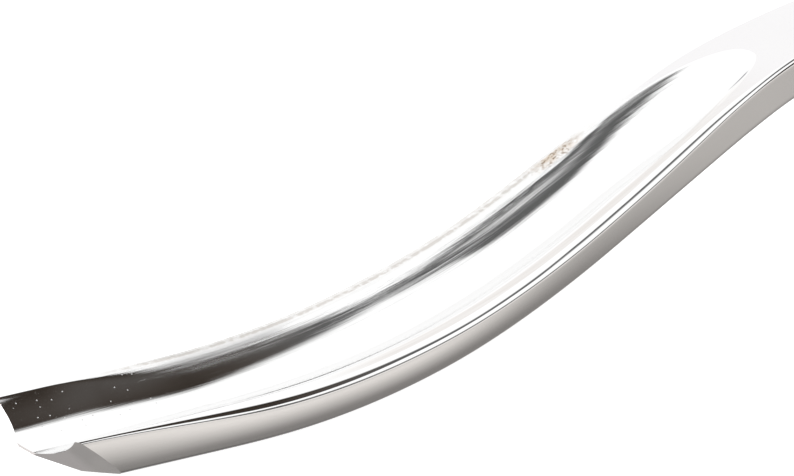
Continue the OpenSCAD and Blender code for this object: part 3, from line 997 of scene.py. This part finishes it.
def soft_rubber(name):
    """Soft overmoulding: matt, finely pebbled, dusty in its grooves and smooth on its crests."""
    material, n = new_material(name)
    groove = n.attribute("groove")
    pebble = n.add("ShaderNodeTexVoronoi", {"Vector": position(n), "Scale": 1500.0, "Randomness": 1.0})
    broad = n.noise(position(n), 55.0, 4.0, 0.6)
    dust = n.noise(position(n), 420.0, 3.0, 0.6)
    dusty = n.times(n.step(dust, 0.56, 0.75), n.math("MULTIPLY_ADD", groove, 0.5, 0.12))
    tone = n.mix(n.step(broad, 0.3, 0.75), (0.012, 0.012, 0.013, 1), (0.026, 0.026, 0.028, 1))
    tone = n.mix(dusty, tone, (0.085, 0.081, 0.076, 1))
    rough = n.math("ADD", n.step(broad, 0.3, 0.75, 0.52, 0.66), n.times(groove, 0.1))
    height = n.math("ADD", n.step(pebble.outputs["Distance"], 0.1, 0.6), n.times(dust, 0.5))
    n.surface(tone, rough, n.bump(0.4, 0.0001, height))
    return material


def turned_metal(name, base, dull, lines):
    """Plated metal with the fine lines that turning and buffing leave."""
    material, n = new_material(name)
    fine = n.noise(position(n, *lines), 1.0, 3.0, 0.6)
    stains = n.noise(position(n), 160.0, 3.0, 0.6)
    scuffs = n.noise(position(n, 0.3, 1.0, 1.0), 1400.0, 2.0, 0.5)
    tone = n.mix(n.step(stains, 0.4, 0.75), base, tuple(0.86 * v for v in base[:3]) + (1,))
    tone = n.mix(n.times(wear_along_edges(n, 0.0004), 0.3), tone, grey(0.92))
    rough = n.math("ADD", n.math("MULTIPLY_ADD", fine, 0.12, dull), n.step(scuffs, 0.6, 0.8, 0.0, 0.15))
    height = n.math("ADD", fine, n.times(scuffs, 0.4))
    n.surface(tone, rough, n.bump(0.12, 0.0001, height), 1.0)
    return material


# ---------------------------------------------------------------------------
# World, light and floor
# ---------------------------------------------------------------------------
def studio_mirrored(w):
    """What the chrome mirrors: a white tent behind, a softbox and a dim room in front, a table below
    and a dark gap overhead between the tent and the softbox."""
    direction = w.add("ShaderNodeTexCoord").outputs["Generated"]
    dx, dy, dz = w.add("ShaderNodeSeparateXYZ", {0: direction}).outputs
    high = w.math("MAXIMUM", dz, 0.05)
    east = w.math("DIVIDE", dx, high)
    north = w.math("DIVIDE", dy, high)

    # The gap, which grows darker and warmer towards the east
    back_edge = w.math("MAXIMUM", w.math("SUBTRACT", east, 0.30), w.step(east, 0.24, 0.32, 0.22, 0.17))
    past_bend = w.math("MAXIMUM", w.math("SUBTRACT", east, 0.65), 0.0)
    front_edge = w.math("SUBTRACT", -0.2, w.times(past_bend, 0.9))
    front_edge = w.math("SUBTRACT", front_edge, w.step(east, 1.12, 1.24, 0.0, 0.9))
    in_front_of_tent = w.step(
        w.math("SUBTRACT", back_edge, north), -0.04, w.step(east, 0.25, 0.33, 0.05, 0.13))
    behind_softbox = w.step(
        w.math("SUBTRACT", north, front_edge), -0.04, w.step(east, 0.25, 0.36, 0.26, 0.06))
    gap = w.times(w.times(in_front_of_tent, behind_softbox), w.step(dz, 0.1, 0.2))
    gap_tone = w.step(east, 0.55, 1.0, 0.125, 0.035)
    gap_warmth = w.step(east, 0.55, 1.0)

    # Behind the lever: the tent, dimmer in its fold, and the table's far edge low down
    fold = w.times(w.step(dz, 0.2, 0.375), w.step(dz, 0.375, 0.52, 1.0, 0.0))
    tent = w.math("SUBTRACT", 1.15, w.times(fold, 0.02))
    tent = w.math("SUBTRACT", tent, w.step(dz, -0.208, -0.087, 0.36, 0.0))

    # In front: a softbox high up, the dim room under it and the pale table, which fades towards the lever
    room = w.step(dz, 0.309, 0.559, 0.14, 1.14)
    table = w.math("MAXIMUM", w.math("MULTIPLY_ADD", dz, 1.32, 0.86), 0.09)
    room = w.math("ADD", room, w.times(table, w.step(dz, 0.02, 0.10, 1.0, 0.0)))

    in_front = w.step(dy, -0.25, 0.05, 1.0, 0.0)
    level = w.math("ADD", w.times(room, in_front), w.times(tent, w.math("SUBTRACT", 1.0, in_front)))
    # Straight down, the shade under the lever
    level = w.times(level, w.step(dz, -0.93, -0.72, 0.44, 1.0))
    table_warmth = w.times(in_front, w.step(dz, 0.2, 0.4, 1.0, 0.0))
    around = tinted(w, level, table_warmth, 0.035, 0.065)
    return w.mix(gap, around, tinted(w, gap_tone, gap_warmth, 0.22, 0.37))


def tinted(w, level, warmth, green_loss, blue_loss):
    """A grey of this level that loses some green and blue as it gets warmer."""
    return w.add("ShaderNodeCombineColor", {
        0: level,
        1: w.times(level, w.math("MULTIPLY_ADD", warmth, -green_loss, 1.0)),
        2: w.times(level, w.math("MULTIPLY_ADD", warmth, -blue_loss, 1.0)),
    }).outputs[0]


def add_world():
    """Plain white light, and the mirrored studio for glossy rays only."""
    world = bpy.data.worlds.new("studio")
    bpy.context.scene.world = world
    world.use_nodes = True
    w = Nodes(world.node_tree)
    mirrored = w.add("ShaderNodeBackground", {"Color": studio_mirrored(w), "Strength": 1.0})
    plain = w.add("ShaderNodeBackground", {"Color": grey(1.0), "Strength": 1.05})
    is_glossy = w.add("ShaderNodeLightPath").outputs["Is Glossy Ray"]
    seen = w.add("ShaderNodeMixShader", {0: is_glossy, 1: plain.outputs[0], 2: mirrored.outputs[0]})
    w.add("ShaderNodeOutputWorld", {"Surface": seen.outputs[0]})


def add_area_light(name, place, target, size, power):
    data = bpy.data.lights.new(name, "AREA")
    data.shape = "SQUARE"
    data.size = size
    data.energy = power
    obj = new_object(name, data)
    obj.location = place
    obj.rotation_euler = (Vector(target) - Vector(place)).to_track_quat("-Z", "Y").to_euler()
    obj.visible_glossy = False


def add_floor(reach=6.0):
    """A plain pale floor, bright enough to meet the white background."""
    mesh = bpy.data.meshes.new("floor")
    corners = [(-reach, -reach, 0), (reach, -reach, 0), (reach, reach, 0), (-reach, reach, 0)]
    mesh.from_pydata(corners, [], [(0, 1, 2, 3)])
    floor = new_object("floor", mesh)
    material, n = new_material("floor_paper")
    paper = n.add("ShaderNodeBsdfPrincipled", {
        "Base Color": grey(0.92), "Roughness": 0.9, "Specular IOR Level": 0.1,
        "Emission Color": grey(1.0), "Emission Strength": 0.72,
    })
    n.add("ShaderNodeOutputMaterial", {"Surface": paper.outputs[0]})
    mesh.materials.append(material)
    floor.visible_glossy = False


# ---------------------------------------------------------------------------
# The lever, piece by piece
# ---------------------------------------------------------------------------
def add_bar():
    mesh = bar_blank()
    grind_nose(mesh)
    smooth(mesh, 28)
    bar = new_object("lever_bar_polished", mesh)
    bar.data.materials.append(chrome_material("bar_chrome"))
    bar.data.materials.append(ground_material("bar_ground_chrome"))
    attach(bar, "root")
    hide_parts("lever_bar")


def add_piece(name, mesh, node, material):
    fix_normals(mesh)
    smooth(mesh, 32)
    obj = new_object(name, mesh)
    obj.data.materials.clear()
    obj.data.materials.append(material)
    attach(obj, "root")
    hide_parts(node)


add_bar()
add_camera()

TURNING_LINES, EYELET_LINES, PIN_LINES = (9000.0, 90.0, 90.0), (120.0, 6000.0, 120.0), (150.0, 150.0, 5000.0)
core_plastic = moulded_plastic("core_plastic", grey(0.028), grey(0.042), 2600.0, 0.52)
plug_plastic = moulded_plastic("plug_plastic", grey(0.035), grey(0.052), 3200.0, 0.46)
grip_rubber = soft_rubber("grip_rubber")
ferrule_chrome = turned_metal("ferrule_chrome", (0.86, 0.86, 0.85, 1), 0.10, TURNING_LINES)
eyelet_steel = turned_metal("eyelet_steel", (0.78, 0.76, 0.72, 1), 0.18, EYELET_LINES)
pin_steel = turned_metal("pin_steel", (0.60, 0.59, 0.57, 1), 0.28, PIN_LINES)

add_piece("handle_core_moulded", core_shape(), "handle_core", core_plastic)
add_piece("soft_grip_sleeve", sleeve_shape(), "soft_grip", grip_rubber)
add_piece("front_ferrule_pressed", ferrule_shape(), "front_ferrule", ferrule_chrome)
add_piece("hang_eyelet_rolled", eyelet_shape(), "hang_eyelet", eyelet_steel)
add_piece("end_plug_moulded", plug_shape(), "end_plug", plug_plastic)

# The pins keep their CAD shape
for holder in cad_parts["tang_pins"].material_slots:
    holder.material = pin_steel

add_world()
add_area_light("overhead_softbox", (0.1, 0.5, 2.2), (0, 0, 0), 2.4, 26)
add_floor()
bpy.context.scene.view_settings.view_transform = "Standard"
